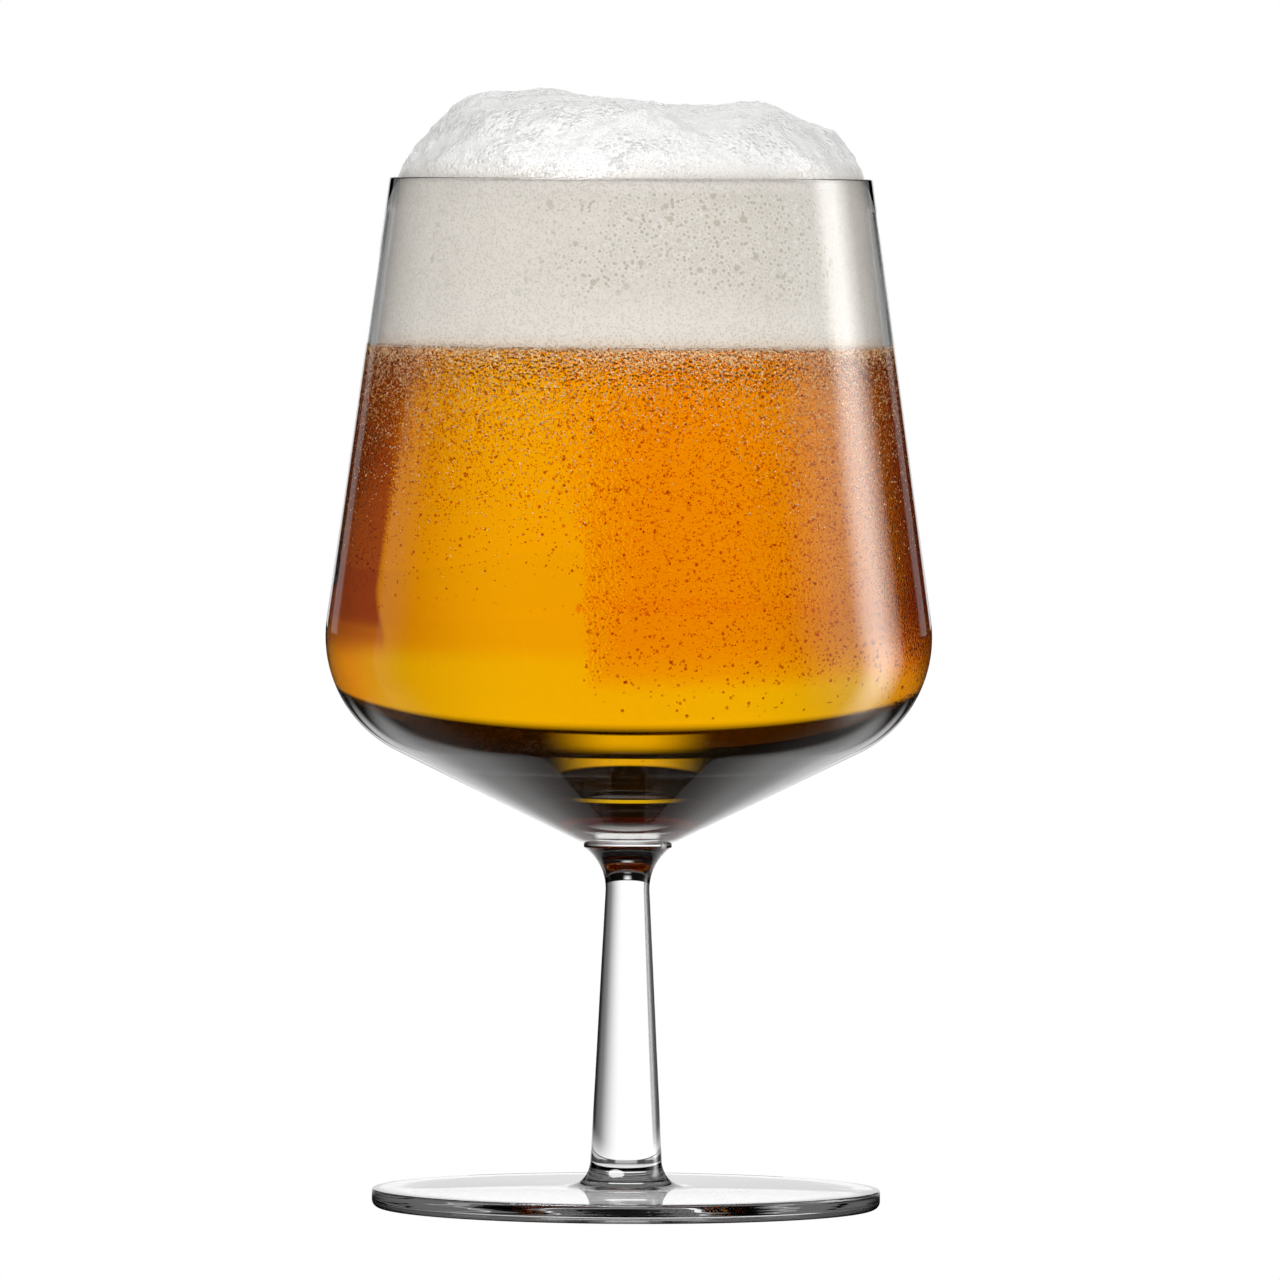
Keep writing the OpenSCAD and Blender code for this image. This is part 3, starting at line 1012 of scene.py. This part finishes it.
class Studio(Sheet):
    """Light that a direction or a place on the floor sends out, by what the ray has met on its way."""

    def __init__(self, tree, x, y):
        super().__init__(tree)
        path = self.node("ShaderNodeLightPath")
        crossings = path.outputs["Transmission Depth"]
        self.from_camera = path.outputs["Is Camera Ray"]
        self.lighting = self.math("GREATER_THAN", path.outputs["Diffuse Depth"], 0.5)
        self.reflected = self.math("GREATER_THAN", path.outputs["Glossy Depth"], 0.5)
        self.outside = self.math("LESS_THAN", crossings, 0.5)
        self.crossed = self.math("GREATER_THAN", crossings, DRINK_CROSSINGS)
        self.dry = self.math("LESS_THAN", crossings, DRINK_CROSSINGS)
        self.gassy = self.math("GREATER_THAN", crossings, GAS_CROSSINGS)
        self.side = self.math("ARCTAN2", x, y)
        self.off_back = self.math("ABSOLUTE", self.side)

    def backdrop(self, lift, rise, high=0.0):
        """Colour behind the glass by direction. Clear glass sees it fall off slowly on the right and end on
        the left. The drink sees a warm glow beyond an edge on the right that softens with the lift, a slow
        fall to the left, and a ruddier light low down, most of all left of the middle, that dies away with
        the rise and deepens with the height on the glass from which it is seen. Far round to the front the
        light is plain."""
        right = self.times(
            self.slope(self.side, *RIGHT_FADE, 1.0, 0.16),
            self.slope(self.side, *RIGHT_END, 1.0, 0.2),
        )
        left = self.slope(self.side, *LEFT_END, 0.12, 1.0)
        slow = self.slope(self.off_back, *SLOW_FADE, 1.0, 0.86)
        crisp = self.slope(self.side, *CRISP_EDGE)
        mild = self.slope(self.side, *MILD_EDGE)
        left_edge = self.slope(self.side, *LEFT_GLOW)
        edge = self.math("MAXIMUM", self.choose(lift, crisp, mild), left_edge)
        low_share = self.math("MULTIPLY_ADD", lift, -0.6, 1.0)
        aside = self.times(self.slope(self.off_back, *SLOW_FADE), low_share)
        sides = self.tint(self.math("GREATER_THAN", self.side, 0.0), RIGHT_TINT, SIDE_TINT)
        slow = self.tint(aside, slow, sides, "MULTIPLY")
        drink = self.tint(edge, slow, self.tint(lift, DRINK_GLOW, LOW_GLOW))
        low = self.math("SUBTRACT", 1.0, rise)
        drink = self.tint(self.slope(lift, 0.2, 1.0, 1.0, 0.0), drink, FLOOR_TINT, "MULTIPLY")
        lean = self.math("MULTIPLY_ADD", high, RUDDY_LEAN, self.side)
        ruddy = self.times(low, self.slope(lean, *RUDDY_EDGE, 1.0, 0.0))
        drink = self.tint(ruddy, drink, self.tint(high, RUDDY_TINT, HIGH_RUDDY_TINT), "MULTIPLY")
        colour = self.tint(self.crossed, self.times(right, left), drink)
        return self.tint(self.slope(self.off_back, *PLAIN_START), colour, PLAIN_LIGHT)

    def panels(self):
        """A faint broad panel far round on the left and a bright strip with a soft tail on the right, as
        the outside mirrors them."""
        left = self.times(self.band(self.side, *LEFT_SPAN), LEFT_PANEL)
        right = self.times(self.band(self.side, *RIGHT_SPAN), RIGHT_PANEL)
        tail = self.times(self.band(self.side, *TAIL_SPAN), RIGHT_TAIL)
        return self.total(left, right, tail)

    def sort(self, through, mirrored, inside, lit, wet_lit):
        """The light for each kind of ray: seen straight, lighting the foam through the glass or through the
        drink, mirrored by the outside or by an inner face of the glass, or let through."""
        inner = self.tint(self.gassy, inside, BLACK)
        colour = self.tint(self.reflected, through, self.tint(self.outside, inner, mirrored))
        colour = self.tint(self.lighting, colour, self.tint(self.crossed, lit, wet_lit))
        return self.tint(self.from_camera, colour, WHITE)


def make_floor():
    """Plain pale floor. It glows as light as the backdrop. Mirrors see it near the foot and behind."""
    material, sheet, shader, where = new_material("pale_floor", **{
        "Base Color": BLACK,
        "Roughness": 0.6,
        "Specular IOR Level": 0.0,
        "Emission Strength": 1.0,
    })
    x, y, _ = sheet.split(where)
    away = sheet.math("SQRT", sheet.total(sheet.times(x, x), sheet.times(y, y)))
    dip = sheet.math("ARCTAN2", COLLAR_Z + BELLY_RISE, away)
    studio = Studio(material.node_tree, x, y)
    far = studio.slope(away, *FOOT_WHITE)
    high = studio.band(away, *HIGH_AWAY, HIGH_SOFT, HIGH_SOFT)
    behind_glass = studio.backdrop(studio.slope(away, *LIFT_AWAY, 0.0, LEVEL_LIFT), 0.0, high)
    through = studio.tint(1.0, studio.tint(far, WHITE, behind_glass), BACKLIGHT_GREY, "MULTIPLY")
    under = studio.times(
        studio.slope(away, *SHADE_AWAY, 0.1, 0.7),
        studio.slope(away, *GLOW_AWAY, 1.0, 1.6),
    )
    ahead = studio.slope(studio.off_back, *AHEAD_END, 1.0, 0.1)
    round_foot = studio.times(
        under,
        studio.slope(away, *GLOW_END, 1.0, 0.0),
        studio.slope(y, *GLOW_BACK),
        ahead,
    )
    behind = studio.times(
        studio.slope(studio.off_back, *BACK_END, 1.0, 0.0),
        studio.slope(away, *BEHIND_AWAY, 1.0, 0.0),
    )
    rear = studio.times(
        studio.slope(studio.off_back, *REAR_END, 1.0, 0.0),
        studio.slope(away, *REAR_AWAY, 1.0, 0.0),
    )
    at_back = studio.times(under, studio.math("MAXIMUM", behind, rear))
    near = studio.math("MAXIMUM", round_foot, at_back)
    panels = studio.times(studio.panels(), studio.slope(dip, *PANEL_DIP, 1.0, 0.0))
    mirrored = studio.total(near, panels)
    clear = studio.times(
        studio.slope(studio.off_back, *CLEAR_BACK, 1.0, INNER_SHADE),
        studio.slope(studio.off_back, *DARK_START, 1.0, 0.0),
        studio.slope(away, *CLEAR_AWAY, INNER_SHADE, 1.0),
        studio.slope(away, *CLEAR_START),
    )
    drowned = studio.tint(1.0, through, studio.slope(away, *DROWNED_AWAY), "MULTIPLY")
    inside = studio.tint(studio.crossed, clear, drowned)
    light = studio.sort(through, mirrored, inside, grey(FLOOR_LIGHT), BLACK)
    sheet.feed(shader.inputs["Emission Color"], light)
    corner = FLOOR_HALF * np.array([[-1, -1], [1, -1], [1, 1], [-1, 1]])
    points = np.concatenate([corner, np.full((4, 1), -FLOOR_DROP)], axis=1)
    mesh = bpy.data.meshes.new("floor")
    mesh.from_pydata(points, [], [[0, 1, 2, 3]])
    mesh.materials.append(material)
    floor = bpy.data.objects.new("floor", mesh)
    bpy.context.scene.collection.objects.link(floor)


def make_camera():
    """A long lens level with the rim, looking along +Y and slightly down."""
    lens = bpy.data.cameras.new("camera")
    lens.sensor_width = SENSOR
    lens.lens = SENSOR * PIXELS_PER_METRE * CAMERA_DISTANCE / PHOTO_PIXELS
    lens.clip_end = CAMERA_REACH
    camera = bpy.data.objects.new("camera", lens)
    camera.location = (CAMERA_SIDE, -CAMERA_DISTANCE, RIM_Z)
    tilt = math.atan2(RIM_Z - AIM_Z, CAMERA_DISTANCE)
    camera.rotation_euler = (math.pi / 2 - tilt, CAMERA_ROLL, 0.0)
    bpy.context.scene.collection.objects.link(camera)
    bpy.context.scene.camera = camera


def make_studio():
    """Soft studio light from the sky's directions. What the glass lets through, what it mirrors and what
    lights the foam each have their own sky, as white panels and black flags round a product table do."""
    world = bpy.data.worlds.new("studio")
    bpy.context.scene.world = world
    world.use_nodes = True
    sheet = Sheet(world.node_tree)
    x, y, z = sheet.split(sheet.node("ShaderNodeTexCoord").outputs["Generated"])
    up = sheet.math("ARCSINE", z)
    studio = Studio(world.node_tree, x, y)

    ceiling = sheet.slope(up, *CEILING, 1.0, CEILING_SHADE)
    slots = sheet.total(
        sheet.times(sheet.band(up, *LOW_SLOT), LOW_SLOT_LIGHT),
        sheet.times(sheet.band(up, *HIGH_SLOT), HIGH_SLOT_LIGHT),
    )
    slots = sheet.times(slots, sheet.slope(studio.off_back, *SLOT_END, 1.0, 0.0))
    level = sheet.times(sheet.total(ceiling, slots), BACKLIGHT)
    lift = sheet.slope(up, *LIFT_UP, LEVEL_LIFT, 1.0)
    rise = sheet.slope(up, *RISE_UP)
    through = sheet.tint(1.0, studio.backdrop(lift, rise), level, "MULTIPLY")

    back = sheet.slope(studio.off_back, *BACK_END, 1.0, 0.0)
    back_strip = sheet.times(sheet.band(studio.off_back, *BACK_STRIP), BACK_STRIP_LIGHT)
    inside = sheet.times(sheet.total(back, back_strip), ceiling)
    shade = sheet.times(sheet.slope(studio.off_back, *DARK_START, INNER_SHADE, 0.0), studio.dry)
    inside = sheet.math("MAXIMUM", inside, shade)
    panels = sheet.times(studio.panels(), sheet.slope(up, *PANEL_TOP, 1.0, 0.0))
    overhead = sheet.times(sheet.slope(up, *OVERHEAD), OVERHEAD_LIGHT)
    toward_box = sheet.total(*[sheet.times(part, aim) for part, aim in zip((x, y, z), BOX_AIM)])
    box = sheet.times(sheet.slope(toward_box, *BOX_EDGE), BOX_LIGHT)
    mirrored = sheet.total(back, back_strip, panels, overhead, box)

    front = sheet.slope(y, 0.2, -1.0, 0.0, 0.95)
    above = sheet.slope(z, 0.0, 1.0, 0.62, 0.46)
    from_right = sheet.slope(x, 0.0, 1.0, 0.0, 0.05)
    lit = sheet.total(front, above, from_right)
    wet_lit = sheet.times(lit, FROTH_LIGHT)

    background = world.node_tree.nodes["Background"]
    sheet.feed(background.inputs["Color"], studio.sort(through, mirrored, inside, lit, wet_lit))


def set_colour():
    """Plain colour handling, and enough bounces for glass inside glass."""
    scene = bpy.context.scene
    scene.view_settings.view_transform = "Standard"
    scene.view_settings.look = "None"
    scene.cycles.max_bounces = 32
    scene.cycles.transmission_bounces = 32
    scene.cycles.glossy_bounces = 12
    scene.cycles.diffuse_bounces = 4
    scene.cycles.transparent_max_bounces = 32
    scene.cycles.sample_clamp_indirect = 6.0
    scene.cycles.blur_glossy = 0.0


make_camera()
make_floor()
make_studio()
set_colour()
make_glass()
make_beer()
make_foam()
make_froth_beads()
